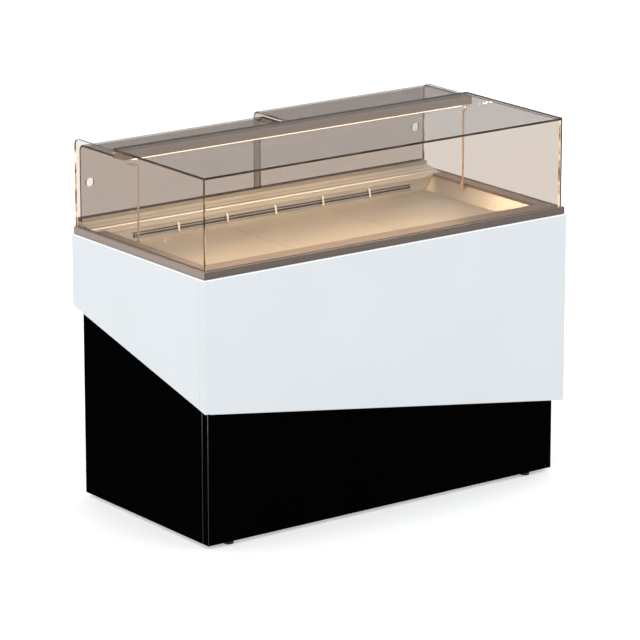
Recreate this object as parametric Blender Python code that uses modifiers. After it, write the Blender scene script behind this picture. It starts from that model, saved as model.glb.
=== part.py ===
"""Serve-over refrigerated display counter with a glass canopy and rear sliding doors.

Units are metres, +Z is up. X runs along the counter, the customer's side faces -Y and the
server's side faces +Y. The origin is on the floor under the middle of the counter.
"""
import math

import bmesh
import bpy
from mathutils import Matrix, Vector

# ---------------------------------------------------------------- driving dimensions
LENGTH = 1.440
DEPTH = 0.740
HEIGHT = 1.200
RIM_TOP = 0.903
RIM_HEIGHT = 0.022
FLOOR_GAP = 0.012            # clear height under the base panels
FIT = 0.0003                 # gap between pieces that touch
SHEET = 0.0015               # folded sheet metal

HALF_L = LENGTH / 2
HALF_D = DEPTH / 2

# Outer panels
BOARD = 0.018                # thickness of the upper panels
PANEL_TOP = RIM_TOP - RIM_HEIGHT - 0.001
CORNER_RETURN = 0.030        # how far a front panel wraps round its corners
SEAM = 0.0008
SKIRT_REAR_LEFT = 0.643      # heights of the slanted lower edge of the upper panels
SKIRT_FRONT_LEFT = 0.453
SKIRT_FRONT_RIGHT = 0.247
SKIRT_REAR_RIGHT = SKIRT_FRONT_RIGHT + SKIRT_REAR_LEFT - SKIRT_FRONT_LEFT
BASE_SET_BACK = 0.028
BASE_TOP = 0.660
BASE_REAR = 0.352            # outer face of the rear base panels
REAR_LOW = 0.016             # lower edge of the rear base panels
REAR_SPLIT = 0.655           # upper edge of the rear base panels
REAR_JOINT = 0.0045          # open joint between the lower and the upper rear panels

# Chassis
FRAME_HALF_L = 0.688
FRAME_FRONT = -0.338
FRAME_REAR = 0.345
FRAME_BOTTOM = 0.020
FRAME_TOP = 0.560
FRAME_TUBE = 0.030
FRAME_FLOOR = 0.024          # top of the chassis floor plate
SILL_TOP = 0.060             # top of the chassis floor rim
FOOT_X = 0.600
FOOT_FRONT = -0.320
FOOT_REAR = 0.327

# Well
WELL_HALF_L = 0.662          # opening inside the rim
WELL_FRONT = -0.285
WELL_REAR = 0.262
RIM_PLATE = 0.010            # thickness of the rim's inner plate
TUB_TOP = RIM_TOP - RIM_PLATE - FIT
TANK_BOTTOM = 0.620
TANK_REAR = 0.300
DECK_TOP = 0.853
DECK_LEDGE = 0.835
DECK_HALF_L = 0.622
DECK_FRONT = -0.262
TANK_HALF_L = 0.602
TANK_FRONT = -0.242

# Canopy
GLASS = 0.008
GLASS_HALF_L = 0.7075        # outer faces of the end panes
GLASS_FRONT = -0.3575
GLASS_REAR = 0.3665
GLASS_FOOT = 0.8995
TOP_PANE_REAR = 0.142
BEND_RADIUS = 0.022
SILL_LEVEL = 0.917           # flat of the rear ledge that carries the door track

# Doors
DOOR_GLASS = 0.006
DOOR_END = 0.6975
DOOR_OVERLAP = 0.014
DOOR_FOOT = 0.9225
DOOR_NOSE = 0.150            # front edge of a door's top leaf
INNER_DOOR_REAR = 0.3510
INNER_DOOR_TOP = 1.174
OUTER_DOOR_REAR = 0.3650
OUTER_DOOR_TOP = 1.190
FINGER_HOLE = 0.030
FINGER_X = 0.662
FINGER_Z = 1.045

# Light bar and posts
BAR_FRONT = 0.100
BAR_BOTTOM = 1.166
BAR_TOP = HEIGHT - GLASS - FIT
BAR_HALF_L = 0.6985
POST_X = 0.652
POST_Y = 0.088
POST_RADIUS = 0.0035

# Air circuit
DUCT_TILT = math.atan2(WELL_REAR - 0.247, RIM_TOP - DECK_TOP)
SLOT_Z = 0.873
SLOT_HEIGHT = 0.018
SLOT_HALF_L = 0.560
RIB_PITCH = 0.193
EVAPORATOR_LOW = (-0.42, -0.050, 0.650)
EVAPORATOR_HIGH = (0.30, 0.070, 0.800)
FAN_PLATE_Y = 0.0753
FAN_Z = 0.725
FAN_LEFT_X = -0.240
FAN_RIGHT_X = 0.120

# Condensing unit
COIL_LOW = (0.100, 0.262, 0.070)
COIL_HIGH = (0.460, 0.312, 0.390)
COOLING_X = 0.280
COOLING_Z = 0.230
COMPRESSOR_X = 0.280
COMPRESSOR_Y = -0.060
SUCTION_HOLE = (0.380, 0.150)
LIQUID_HOLE = (0.420, 0.150)
DRAIN_HOLE = (-0.240, 0.190)
DRIER_PLACE = (0.560, 0.200)

# Rear controls
HINGE_X = 0.6835
HINGE_Y = 0.3545
HINGE_LEVELS = (0.100, 0.530)
GRILLE_MIDDLE = (REAR_LOW + REAR_SPLIT) / 2
CONTROL_X = 0.420
CONTROL_Z = 0.815
REAR_PANEL_Y = 0.362
SWITCH_TILT = math.radians(9.0)
SWITCH_PIVOT_Y = 0.3640

AXES = {
    "X": Matrix(((0, 0, 1), (1, 0, 0), (0, 1, 0))),
    "Y": Matrix(((1, 0, 0), (0, 0, -1), (0, 1, 0))),
    "Z": Matrix(((1, 0, 0), (0, 1, 0), (0, 0, 1))),
}


# ---------------------------------------------------------------- scene and materials
def clear_scene():
    for obj in list(bpy.data.objects):
        bpy.data.objects.remove(obj, do_unlink=True)


def new_collection(name):
    collection = bpy.data.collections.new(name)
    bpy.context.scene.collection.children.link(collection)
    return collection


def make_paint(name, color, roughness, metallic=0.0):
    paint = bpy.data.materials.new(name)
    paint.use_nodes = True
    shader = paint.node_tree.nodes["Principled BSDF"]
    shader.inputs["Base Color"].default_value = (*color, 1.0)
    shader.inputs["Roughness"].default_value = roughness
    shader.inputs["Metallic"].default_value = metallic
    return paint


clear_scene()
PARTS = new_collection("display_counter")
CUTTERS = new_collection("cutters")

WHITE = make_paint("white_lacquer", (0.76, 0.80, 0.82), 0.35)
BLACK = make_paint("black_lacquer", (0.01, 0.01, 0.011), 0.35)
TAUPE = make_paint("taupe_lacquer", (0.33, 0.28, 0.25), 0.35)
STEEL = make_paint("brushed_steel", (0.62, 0.61, 0.59), 0.30, 1.0)
ZINC = make_paint("galvanised_steel", (0.50, 0.51, 0.52), 0.45, 1.0)
ALUMINIUM = make_paint("anodised_aluminium", (0.60, 0.55, 0.50), 0.35, 1.0)
GLAZING = make_paint("tinted_glass", (0.62, 0.58, 0.56), 0.05)
DIFFUSER = make_paint("led_diffuser", (1.0, 0.93, 0.78), 0.40)
FOAM = make_paint("insulation_foam", (0.80, 0.76, 0.58), 0.90)
PLASTIC = make_paint("black_plastic", (0.03, 0.03, 0.03), 0.45)
GREY_PLASTIC = make_paint("grey_plastic", (0.30, 0.31, 0.32), 0.50)
RUBBER = make_paint("black_rubber", (0.02, 0.02, 0.02), 0.80)
COPPER = make_paint("copper_pipe", (0.72, 0.40, 0.26), 0.30, 1.0)


# ---------------------------------------------------------------- modelling helpers
def add_object(name, mesh, paint, collection):
    obj = bpy.data.objects.new(name, mesh)
    collection.objects.link(obj)
    if paint is not None:
        mesh.materials.append(paint)
    if collection is CUTTERS:
        obj.hide_render = True
        obj.display_type = "WIRE"
    return obj


def mesh_object(name, bm, paint, collection):
    mesh = bpy.data.meshes.new(name)
    bm.to_mesh(mesh)
    bm.free()
    return add_object(name, mesh, paint, collection)


def add_box(bm, low, high):
    low = Vector(low)
    size = Vector(high) - low
    place = Matrix.Translation(low + size / 2) @ Matrix.Diagonal((*size, 1.0))
    bmesh.ops.create_cube(bm, size=1.0, matrix=place)


def round_edges(obj, width, segments=2):
    bevel = obj.modifiers.new("rounded_edges", "BEVEL")
    bevel.width = width
    bevel.segments = segments
    bevel.limit_method = "ANGLE"
    return obj


def box(name, low, high, paint=None, collection=PARTS, rounding=0.0, segments=2):
    bm = bmesh.new()
    add_box(bm, low, high)
    obj = mesh_object(name, bm, paint, collection)
    if rounding:
        round_edges(obj, rounding, segments)
    return obj


def boxes(name, pairs, collection=CUTTERS):
    bm = bmesh.new()
    for low, high in pairs:
        add_box(bm, low, high)
    return mesh_object(name, bm, None, collection)


def cylinder(name, start, length, radius, axis="Z", paint=None, collection=PARTS, sides=24):
    bm = bmesh.new()
    direction = Vector(AXES[axis].col[2])
    if axis == "Y":
        direction = -direction
    turn = direction.to_track_quat("Z", "X").to_matrix().to_4x4()
    place = Matrix.Translation(Vector(start) + direction * length / 2) @ turn
    bmesh.ops.create_cone(bm, cap_ends=True, segments=sides, radius1=radius, radius2=radius,
                          depth=length, matrix=place)
    return smooth(mesh_object(name, bm, paint, collection))


def smooth(obj):
    obj.data.shade_smooth()
    obj.data.set_sharp_from_angle(angle=math.radians(35))
    return obj


def curve_mesh(name, curve, frame, paint, collection):
    """Turn a curve into a welded mesh, so that it can be cut."""
    holder = bpy.data.objects.new(name + "_curve", curve)
    CUTTERS.objects.link(holder)
    holder.matrix_world = frame
    graph = bpy.context.evaluated_depsgraph_get()
    mesh = bpy.data.meshes.new_from_object(holder.evaluated_get(graph))
    mesh.transform(frame)
    bm = bmesh.new()
    bm.from_mesh(mesh)
    bmesh.ops.remove_doubles(bm, verts=bm.verts, dist=0.00001)
    bmesh.ops.recalc_face_normals(bm, faces=bm.faces)
    bm.to_mesh(mesh)
    bm.free()
    mesh.name = name
    mesh.materials.clear()
    bpy.data.objects.remove(holder, do_unlink=True)
    return add_object(name, mesh, paint, collection)


def outline(name, points, axis, low, high, paint=None, collection=PARTS):
    """Extrude a flat outline along an axis. Points are the other two axes, in X, Y, Z order."""
    curve = bpy.data.curves.new(name, "CURVE")
    curve.dimensions = "2D"
    curve.fill_mode = "BOTH"
    curve.extrude = (high - low) / 2
    spline = curve.splines.new("POLY")
    spline.points.add(len(points) - 1)
    for point, (u, v) in zip(spline.points, points):
        point.co = (u, v, 0.0, 1.0)
    spline.use_cyclic_u = True
    frame = AXES[axis].to_4x4()
    middle = (low + high) / 2
    frame.translation["XYZ".index(axis)] = middle
    return curve_mesh(name, curve, frame, paint, collection)


def tube(name, points, radius, paint, resolution=2):
    curve = bpy.data.curves.new(name, "CURVE")
    curve.dimensions = "3D"
    curve.bevel_depth = radius
    curve.bevel_resolution = resolution
    curve.use_fill_caps = True
    curve.materials.append(paint)
    spline = curve.splines.new("POLY")
    spline.points.add(len(points) - 1)
    for point, place in zip(spline.points, points):
        point.co = (*place, 1.0)
    obj = bpy.data.objects.new(name, curve)
    PARTS.objects.link(obj)
    return obj


def tube_mesh(name, points, radius, paint, resolution=2, collection=PARTS):
    obj = tube(name, points, radius, paint, resolution)
    curve = obj.data
    bpy.data.objects.remove(obj, do_unlink=True)
    return smooth(curve_mesh(name, curve, Matrix.Identity(4), paint, collection))


def bent_path(corners, radius, steps=4):
    """Points along straight runs joined by arcs of the given radius."""
    corners = [Vector(corner) for corner in corners]
    path = [corners[0]]
    for before, corner, after in zip(corners, corners[1:], corners[2:]):
        back = (before - corner).normalized()
        ahead = (after - corner).normalized()
        half_angle = back.angle(ahead) / 2
        reach = radius / math.tan(half_angle)
        centre = corner + (back + ahead).normalized() * radius / math.sin(half_angle)
        first = (corner + back * reach - centre).normalized()
        last = (corner + ahead * reach - centre).normalized()
        for step in range(steps + 1):
            path.append(centre + first.slerp(last, step / steps) * radius)
    path.append(corners[-1])
    return [tuple(point) for point in path]


def arc(centre, radius, start, end, steps):
    """Points on an arc, angles in degrees."""
    points = []
    for step in range(steps + 1):
        angle = math.radians(start + (end - start) * step / steps)
        points.append((centre[0] + radius * math.cos(angle), centre[1] + radius * math.sin(angle)))
    return points


def turned(name, profile, place, axis, paint, steps=24, closed=False, collection=PARTS):
    """Turn a profile of (radius, height) about an axis. It runs down its outer side."""
    bm = bmesh.new()
    corners = [bm.verts.new((radius, 0.0, height)) for radius, height in profile]
    for first, second in zip(corners, corners[1:]):
        bm.edges.new((first, second))
    if closed:
        bm.edges.new((corners[-1], corners[0]))
    obj = mesh_object(name, bm, paint, collection)
    screw = obj.modifiers.new("turned", "SCREW")
    screw.steps = steps
    screw.render_steps = steps
    screw.use_merge_vertices = True
    screw.merge_threshold = 0.00001
    screw.use_smooth_shade = True
    obj.location = place
    if axis == "Y":
        obj.rotation_euler = (-math.pi / 2, 0.0, 0.0)
    return obj


def folded_sheet(name, path, low, high, paint, thickness=SHEET, offset=1.0):
    """A sheet folded along X: path is its section as (y, z) points."""
    bm = bmesh.new()
    corners = [bm.verts.new((low, y, z)) for y, z in path]
    edges = [bm.edges.new(pair) for pair in zip(corners, corners[1:])]
    made = bmesh.ops.extrude_edge_only(bm, edges=edges)["geom"]
    moved = [item for item in made if isinstance(item, bmesh.types.BMVert)]
    bmesh.ops.translate(bm, verts=moved, vec=(high - low, 0.0, 0.0))
    obj = mesh_object(name, bm, paint, PARTS)
    return thicken(obj, thickness, offset)


def thicken(obj, thickness, offset):
    solid = obj.modifiers.new("thickness", "SOLIDIFY")
    solid.thickness = thickness
    solid.offset = offset
    solid.use_even_offset = True
    return obj


def combine(obj, other, operation):
    step = obj.modifiers.new(operation.lower() + "_" + other.name, "BOOLEAN")
    step.operation = operation
    step.solver = "EXACT"
    step.object = other
    return obj


def cut(obj, *others):
    for other in others:
        combine(obj, other, "DIFFERENCE")
    return obj


def join(obj, *others):
    for other in others:
        combine(obj, other, "UNION")
    return obj


def origin_at(obj, point):
    """Move a piece's origin onto its joint without moving the piece."""
    point = Vector(point)
    obj.data.transform(Matrix.Translation(obj.location - point))
    obj.location = point
    return obj


# ---------------------------------------------------------------- base and outer panels
def build_chassis():
    frame = box("chassis_frame", (-FRAME_HALF_L, FRAME_FRONT, FRAME_BOTTOM),
                (FRAME_HALF_L, FRAME_REAR, FRAME_TOP), ZINC)
    inner_l = FRAME_HALF_L - FRAME_TUBE
    front = FRAME_FRONT + FRAME_TUBE
    rear = FRAME_REAR - FRAME_TUBE
    head = FRAME_TOP - FRAME_TUBE
    room = box("chassis_room", (-inner_l, front, FRAME_FLOOR), (inner_l, rear, 0.6),
               collection=CUTTERS)
    long_bays = box("chassis_long_bays", (-inner_l, -0.4, SILL_TOP), (inner_l, 0.4, head),
                    collection=CUTTERS)
    end_bays = box("chassis_end_bays", (-0.8, front, SILL_TOP), (0.8, rear, head), collection=CUTTERS)
    cut(frame, room, long_bays, end_bays)


def build_feet():
    profile = [(0.0, FRAME_BOTTOM - FIT), (0.005, FRAME_BOTTOM - FIT), (0.005, 0.010), (0.014, 0.008),
               (0.016, 0.005), (0.016, 0.001), (0.015, 0.0), (0.0, 0.0)]
    for end, x in (("left", -FOOT_X), ("right", FOOT_X)):
        for side, y in (("front", FOOT_FRONT), ("rear", FOOT_REAR)):
            turned(f"levelling_foot_{side}_{end}", profile, (x, y, 0.0), "Z", RUBBER, steps=16)


def wrapped_front(half, front, thickness):
    """Plan of a front panel that wraps round both corners."""
    back = front + CORNER_RETURN
    inner = half - thickness
    return [(-half, front), (half, front), (half, back), (inner, back), (inner, front + thickness),
            (-inner, front + thickness), (-inner, back), (-half, back)]


def side_skirt(y, front_height):
    rise = (SKIRT_REAR_LEFT - SKIRT_FRONT_LEFT) / DEPTH
    return front_height + rise * (y + HALF_D)


def front_skirt(x):
    rise = (SKIRT_FRONT_RIGHT - SKIRT_FRONT_LEFT) / LENGTH
    return SKIRT_FRONT_LEFT + rise * (x + HALF_L)


def build_upper_panels():
    reach = 0.760
    below = 0.100
    panel = outline("upper_front_panel", wrapped_front(HALF_L, -HALF_D, BOARD), "Z",
                    below * 1.5, PANEL_TOP, WHITE)
    under_front = [(-reach, below), (reach, below), (reach, front_skirt(reach)),
                   (-reach, front_skirt(-reach))]
    cut(panel, outline("front_skirt_cut", under_front, "Y", -0.45, -0.30, collection=CUTTERS))
    for end, side, height in (("left", -1, SKIRT_FRONT_LEFT), ("right", 1, SKIRT_FRONT_RIGHT)):
        under = [(-reach, below), (reach, below), (reach, side_skirt(reach, height)),
                 (-reach, side_skirt(-reach, height))]
        spans = sorted((side * (HALF_L - BOARD + 0.0001), side * (HALF_L + 0.03)))
        cut(panel, outline(f"{end}_skirt_cut", under, "X", *spans, collection=CUTTERS))
        start = -HALF_D + CORNER_RETURN + SEAM
        shape = [(start, side_skirt(start, height)), (HALF_D, side_skirt(HALF_D, height)),
                 (HALF_D, PANEL_TOP), (start, PANEL_TOP)]
        spans = sorted((side * (HALF_L - BOARD), side * HALF_L))
        plate = outline(f"upper_{end}_panel", shape, "X", *spans, WHITE)
        round_edges(plate, 0.0012, 1)
    round_edges(panel, 0.0012, 1)


def build_base_panels():
    half = HALF_L - BASE_SET_BACK
    front = -HALF_D + BASE_SET_BACK
    panel = outline("base_front_panel", wrapped_front(half, front, SHEET), "Z", FLOOR_GAP, BASE_TOP,
                    BLACK)
    round_edges(panel, 0.0004, 1)
    start = front + CORNER_RETURN + SEAM
    box("base_left_panel", (-half, start, FLOOR_GAP), (-half + SHEET, BASE_REAR, BASE_TOP), BLACK)
    box("base_right_panel", (half - SHEET, start, FLOOR_GAP), (half, BASE_REAR, BASE_TOP), BLACK)
    rear = box("base_rear_panel", (-0.690, BASE_REAR - 0.003, REAR_LOW),
               (-0.1965, BASE_REAR, REAR_SPLIT), BLACK)
    inlet_hole = cylinder("inlet_hole", (-0.600, 0.340, 0.100), 0.02, 0.0086, "Y", collection=CUTTERS)
    cut(rear, inlet_hole)
    lip = BASE_REAR + 0.001
    low = REAR_SPLIT + REAR_JOINT
    top = PANEL_TOP - FIT
    shape = [(lip, top), (REAR_PANEL_Y, top), (REAR_PANEL_Y, low), (lip, low)]
    upper = folded_sheet("upper_rear_panel", shape, -0.7015, 0.7015, WHITE, offset=-1.0)
    window = box("control_window", (CONTROL_X - 0.105, 0.34, CONTROL_Z - 0.020),
                 (CONTROL_X + 0.105, 0.38, CONTROL_Z + 0.020), collection=CUTTERS)
    cut(upper, window)


def build_rear_grille():
    grille = box("rear_grille", (-0.1935, BASE_REAR - 0.003, REAR_LOW),
                 (0.681, BASE_REAR, REAR_SPLIT), BLACK)
    slots = []
    for column in (0.110, 0.290):
        for row in range(13):
            z = 0.080 + 0.024 * row
            slots.append(((column, 0.340, z), (column + 0.160, 0.360, z + 0.010)))
    cut(grille, boxes("grille_slots", slots))
    lowest, highest = HINGE_LEVELS
    hinge = box("grille_hinge", (0.688, 0.3505, lowest), (0.690, 0.3585, highest + 0.006), STEEL)
    for number, z in enumerate(HINGE_LEVELS):
        notch = box(f"hinge_notch_{number}", (0.670, 0.340, z - 0.001), (0.687, 0.365, z + 0.0065),
                    collection=CUTTERS)
        barrel = cylinder(f"hinge_barrel_{number}", (HINGE_X, HINGE_Y, z + 0.0068), 0.025, 0.004,
                          collection=CUTTERS, sides=16)
        bore = cylinder(f"hinge_bore_{number}", (HINGE_X, HINGE_Y, z), 0.045, 0.0023,
                        collection=CUTTERS, sides=16)
        cut(grille, notch)
        join(grille, barrel)
        cut(grille, bore)
        block = box(f"hinge_block_{number}", (0.6795, 0.351, z), (0.689, 0.358, z + 0.0058),
                    collection=CUTTERS)
        pin = cylinder(f"hinge_pin_{number}", (HINGE_X, HINGE_Y, z + 0.004), 0.031, 0.0020,
                       collection=CUTTERS, sides=16)
        join(hinge, block, pin)
    origin_at(grille, (HINGE_X, HINGE_Y, GRILLE_MIDDLE))


# ---------------------------------------------------------------- well, rim and ledge
def tub_levels(grow):
    """Rectangles down the well, as (half length, front, rear, z), grown outwards."""
    levels = [
        (WELL_HALF_L, WELL_FRONT, TANK_REAR, TUB_TOP),
        (DECK_HALF_L, DECK_FRONT, TANK_REAR, DECK_TOP),
        (DECK_HALF_L, DECK_FRONT, TANK_REAR, DECK_LEDGE),
        (TANK_HALF_L, TANK_FRONT, TANK_REAR - 0.004, DECK_LEDGE),
        (TANK_HALF_L, TANK_FRONT, TANK_REAR - 0.004, TANK_BOTTOM),
    ]
    grown = []
    for half, front, rear, z in levels:
        drop = grow if z <= DECK_LEDGE else 0.0
        grown.append((half + grow, front - grow, rear + grow, z - drop))
    return grown


def tub_surface(bm, levels):
    """Stack rectangles into walls with a floor, open at the top."""
    half, front, rear, z = levels[0]
    corners = [(-half, front), (half, front), (half, rear), (-half, rear)]
    ring = [bm.verts.new((x, y, z)) for x, y in corners]
    top_edges = [bm.edges.new((ring[i], ring[(i + 1) % 4])) for i in range(4)]
    edges = top_edges
    for half, front, rear, z in levels[1:]:
        made = bmesh.ops.extrude_edge_only(bm, edges=edges)["geom"]
        edges = [item for item in made if isinstance(item, bmesh.types.BMEdge)]
        for vert in [item for item in made if isinstance(item, bmesh.types.BMVert)]:
            vert.co = (math.copysign(half, vert.co.x), front if vert.co.y < 0 else rear, z)
    bmesh.ops.contextual_create(bm, geom=edges)
    return top_edges


def build_tub():
    bm = bmesh.new()
    tub_surface(bm, tub_levels(0.0))
    bmesh.ops.recalc_face_normals(bm, faces=bm.faces)
    liner = mesh_object("tank_liner", bm, STEEL, PARTS)
    thicken(liner, SHEET, -1.0)

    levels = tub_levels(3 * SHEET)
    rear_side = [(rear, z) for half, front, rear, z in levels]
    front_side = [(front, z) for half, front, rear, z in reversed(levels)]
    low = FRAME_TOP + FIT
    outside = [(FRAME_FRONT, TUB_TOP), (FRAME_FRONT, low), (FRAME_REAR, low), (FRAME_REAR, TUB_TOP)]
    tub = outline("insulation_tub", outside + rear_side + front_side, "X", -FRAME_HALF_L, FRAME_HALF_L,
                  FOAM)
    for name, (x, y), radius in (("suction_way", SUCTION_HOLE, 0.0090),
                                 ("liquid_way", LIQUID_HOLE, 0.0055),
                                 ("drain_way", DRAIN_HOLE, 0.0125)):
        way = cylinder(name, (x, y, 0.55), 0.09, radius, collection=CUTTERS, sides=16)
        cut(tub, way)
        cut(liner, way)

    room = [(y - FIT, z + FIT) for y, z in rear_side] + [(y + FIT, z + FIT) for y, z in front_side]
    for end, side in (("left", -1), ("right", 1)):
        slab = [(side * FRAME_HALF_L, TUB_TOP), (side * FRAME_HALF_L, levels[-1][3])]
        slab += [(side * half, z) for half, front, rear, z in reversed(levels)]
        foam = outline(f"insulation_{end}", slab, "Y", -0.35, 0.35, FOAM)
        spans = sorted((side * 0.55, side * 0.75))
        combine(foam, outline(f"tub_room_{end}", room, "X", *spans, collection=CUTTERS), "INTERSECT")


def build_rim():
    outer_half = HALF_L - 0.004
    outer_front = -HALF_D + 0.004
    rim = box("rim_frame", (-outer_half, outer_front, RIM_TOP - RIM_HEIGHT),
              (outer_half, 0.366, RIM_TOP), TAUPE, rounding=0.0015, segments=1)
    opening = box("rim_opening", (-WELL_HALF_L, WELL_FRONT, 0.8), (WELL_HALF_L, 0.5, 1.0),
                  collection=CUTTERS)
    ledge_room = box("rim_ledge_room", (-0.6985, WELL_REAR, 0.8), (0.6985, 0.5, 1.0),
                     collection=CUTTERS)
    hollow = box("rim_hollow", (-0.700, -0.350, 0.8), (0.700, 0.5, RIM_TOP - RIM_PLATE),
                 collection=CUTTERS)
    slack = 0.0005
    foot = GLASS_FOOT - slack
    inner = GLASS_HALF_L - GLASS - slack
    outer = GLASS_HALF_L + slack
    behind = GLASS_FRONT + GLASS
    grooves = [
        ((-outer, GLASS_FRONT - slack, foot), (outer, behind + slack, 1.0)),
        ((-outer, behind, foot), (-inner, 0.5, 1.0)),
        ((inner, behind, foot), (outer, 0.5, 1.0)),
    ]
    cut(rim, opening, ledge_room, hollow)
    for number, (low, high) in enumerate(grooves):
        cut(rim, box(f"glass_groove_{number}", low, high, collection=CUTTERS))


def build_ledge():
    front = WELL_REAR + FIT
    under = TUB_TOP + FIT
    section = [(front, under), (front, RIM_TOP), (0.286, RIM_TOP), (0.288, RIM_TOP + 0.003),
               (0.302, RIM_TOP + 0.003), (0.338, SILL_LEVEL), (0.3695, SILL_LEVEL),
               (0.3695, PANEL_TOP), (0.3635, PANEL_TOP), (0.3635, under)]
    outline("rear_ledge", section, "X", -0.698, 0.698, STEEL)
    low = SILL_LEVEL + FIT
    top = 0.930
    floor = low + 0.0018
    section = [(0.3410, low), (0.3690, low), (0.3690, top), (0.3675, top), (0.3675, floor),
               (0.3565, floor), (0.3565, top), (0.3535, top), (0.3535, floor), (0.3425, floor),
               (0.3425, top), (0.3410, top)]
    outline("lower_door_track", section, "X", -0.697, 0.697, ALUMINIUM)


def tilted(pairs):
    """Boxes turned into the sloping duct panel about the slot's middle."""
    slot_y = 0.247 + (SLOT_Z - DECK_TOP) * math.tan(DUCT_TILT)
    bm = bmesh.new()
    for low, high in pairs:
        add_box(bm, low, high)
    place = Matrix.Translation((0.0, slot_y, SLOT_Z)) @ Matrix.Rotation(-DUCT_TILT, 4, "X")
    bmesh.ops.transform(bm, verts=bm.verts, matrix=place)
    return bm


def build_air_duct():
    run_up = (TUB_TOP - DECK_TOP) * math.tan(DUCT_TILT)
    back = 0.249
    foot = 0.8338
    section = [(back + run_up, TUB_TOP - FIT), (back, DECK_TOP), (back, foot), (back - 0.020, foot),
               (back - 0.020, 0.800)]
    duct = folded_sheet("air_duct_panel", section, -0.6000, 0.6000, STEEL)
    half_height = SLOT_HEIGHT / 2
    hole = tilted([((-SLOT_HALF_L, -0.02, -half_height), (SLOT_HALF_L, 0.02, half_height))])
    cut(duct, mesh_object("outlet_hole", hole, None, CUTTERS))
    edge = 0.0006
    length = SLOT_HALF_L - edge
    height = half_height - edge
    body = tilted([((-length, 0.0, -height), (length, 0.008, height))])
    grille = mesh_object("air_outlet_grille", body, ALUMINIUM, PARTS)
    windows = []
    rows = 3
    blade = 0.0016
    step = (SLOT_HEIGHT - 2 * edge - blade) / rows
    for column in range(6):
        left = (column - 3) * RIB_PITCH + 0.003
        right = left + RIB_PITCH - 0.006
        left = max(left, -SLOT_HALF_L + 0.004)
        right = min(right, SLOT_HALF_L - 0.004)
        for row in range(rows):
            low = -half_height + edge + blade + row * step
            windows.append(((left, -0.01, low), (right, 0.02, low + step - blade)))
    cut(grille, mesh_object("outlet_windows", tilted(windows), None, CUTTERS))


def build_trays():
    inset = 0.0015
    width = (2 * (DECK_HALF_L - inset) - 2 * inset) / 3
    front = DECK_FRONT + inset
    rear = 0.2475
    for number, name in enumerate(("left", "middle", "right")):
        left = -DECK_HALF_L + inset + number * (width + inset)
        tray = box(f"deck_tray_{name}", (left, front, DECK_LEDGE + 0.0005),
                   (left + width, rear, DECK_TOP), STEEL)
        wall = 0.0012
        hollow = box(f"tray_hollow_{name}", (left + wall, front + wall, 0.80),
                     (left + width - wall, rear - wall, DECK_TOP - wall), collection=CUTTERS)
        slots = []
        for slot in range(6):
            x = left + 0.030 + slot * 0.060
            slots.append(((x, front + 0.014, 0.84), (x + 0.050, front + 0.020, 0.87)))
        cut(tray, hollow, boxes(f"tray_slots_{name}", slots))
        origin_at(tray, (left + width / 2, (front + rear) / 2, DECK_TOP))


# ---------------------------------------------------------------- canopy
def build_canopy():
    top = HEIGHT - GLASS - FIT
    box("front_glass", (-GLASS_HALF_L, GLASS_FRONT, GLASS_FOOT),
        (GLASS_HALF_L, GLASS_FRONT + GLASS, top), GLAZING, rounding=0.0008, segments=1)
    box("top_glass", (-GLASS_HALF_L, GLASS_FRONT, HEIGHT - GLASS),
        (GLASS_HALF_L, TOP_PANE_REAR, HEIGHT), GLAZING, rounding=0.0008, segments=1)
    front = GLASS_FRONT + GLASS + FIT
    corner = (GLASS_REAR - BEND_RADIUS, top - BEND_RADIUS)
    shape = [(front, GLASS_FOOT), (GLASS_REAR, GLASS_FOOT)] + arc(corner, BEND_RADIUS, 0, 90, 6)
    shape.append((front, top))
    for end, side in (("left", -1), ("right", 1)):
        spans = sorted((side * GLASS_HALF_L, side * (GLASS_HALF_L - GLASS)))
        pane = outline(f"{end}_glass", shape, "X", *spans, GLAZING)
        round_edges(pane, 0.0008, 1)


def door_section(rear, top):
    """Section of a bent-glass door: a rear wall that curves over into a top leaf."""
    centre = (rear - BEND_RADIUS, top - BEND_RADIUS)
    outside = arc(centre, BEND_RADIUS, 0, 90, 6)
    inside = arc(centre, BEND_RADIUS - DOOR_GLASS, 90, 0, 6)
    return ([(rear - DOOR_GLASS, DOOR_FOOT), (rear, DOOR_FOOT)] + outside + [(DOOR_NOSE, top),
            (DOOR_NOSE, top - DOOR_GLASS)] + inside)


def build_doors():
    for name, side, rear, top in (("left_door", -1, INNER_DOOR_REAR, INNER_DOOR_TOP),
                                  ("right_door", 1, OUTER_DOOR_REAR, OUTER_DOOR_TOP)):
        spans = sorted((side * DOOR_END, -side * DOOR_OVERLAP / 2))
        door = outline(name, door_section(rear, top), "X", *spans, GLAZING)
        hole = cylinder(name + "_finger_hole", (side * FINGER_X, rear - 0.02, FINGER_Z), 0.04,
                        FINGER_HOLE / 2, "Y", collection=CUTTERS, sides=24)
        cut(door, hole)
        origin_at(door, (side * FINGER_X, rear - DOOR_GLASS / 2, DOOR_FOOT))


def build_light_bar():
    bar = box("light_bar", (-BAR_HALF_L, BAR_FRONT, BAR_BOTTOM), (BAR_HALF_L, TOP_PANE_REAR, BAR_TOP),
              TAUPE, rounding=0.002)
    groove = box("led_groove", (-0.6605, 0.1045, 1.10), (0.6605, 0.1215, 1.171), collection=CUTTERS)
    cut(bar, groove)
    box("led_diffuser", (-0.660, 0.1048, 1.1625), (0.660, 0.1212, 1.1707), DIFFUSER, rounding=0.002)
    near = TOP_PANE_REAR + FIT
    wall = near + 0.0017
    nose = 0.1640
    section = [(near, 1.1630), (nose, 1.1630), (nose, 1.1645), (wall, 1.1645), (wall, 1.1790),
               (nose, 1.1790), (nose, 1.1805), (wall, 1.1805), (wall, BAR_TOP), (near, BAR_TOP)]
    outline("upper_door_track", section, "X", -0.6970, 0.6970, ALUMINIUM)


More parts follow.
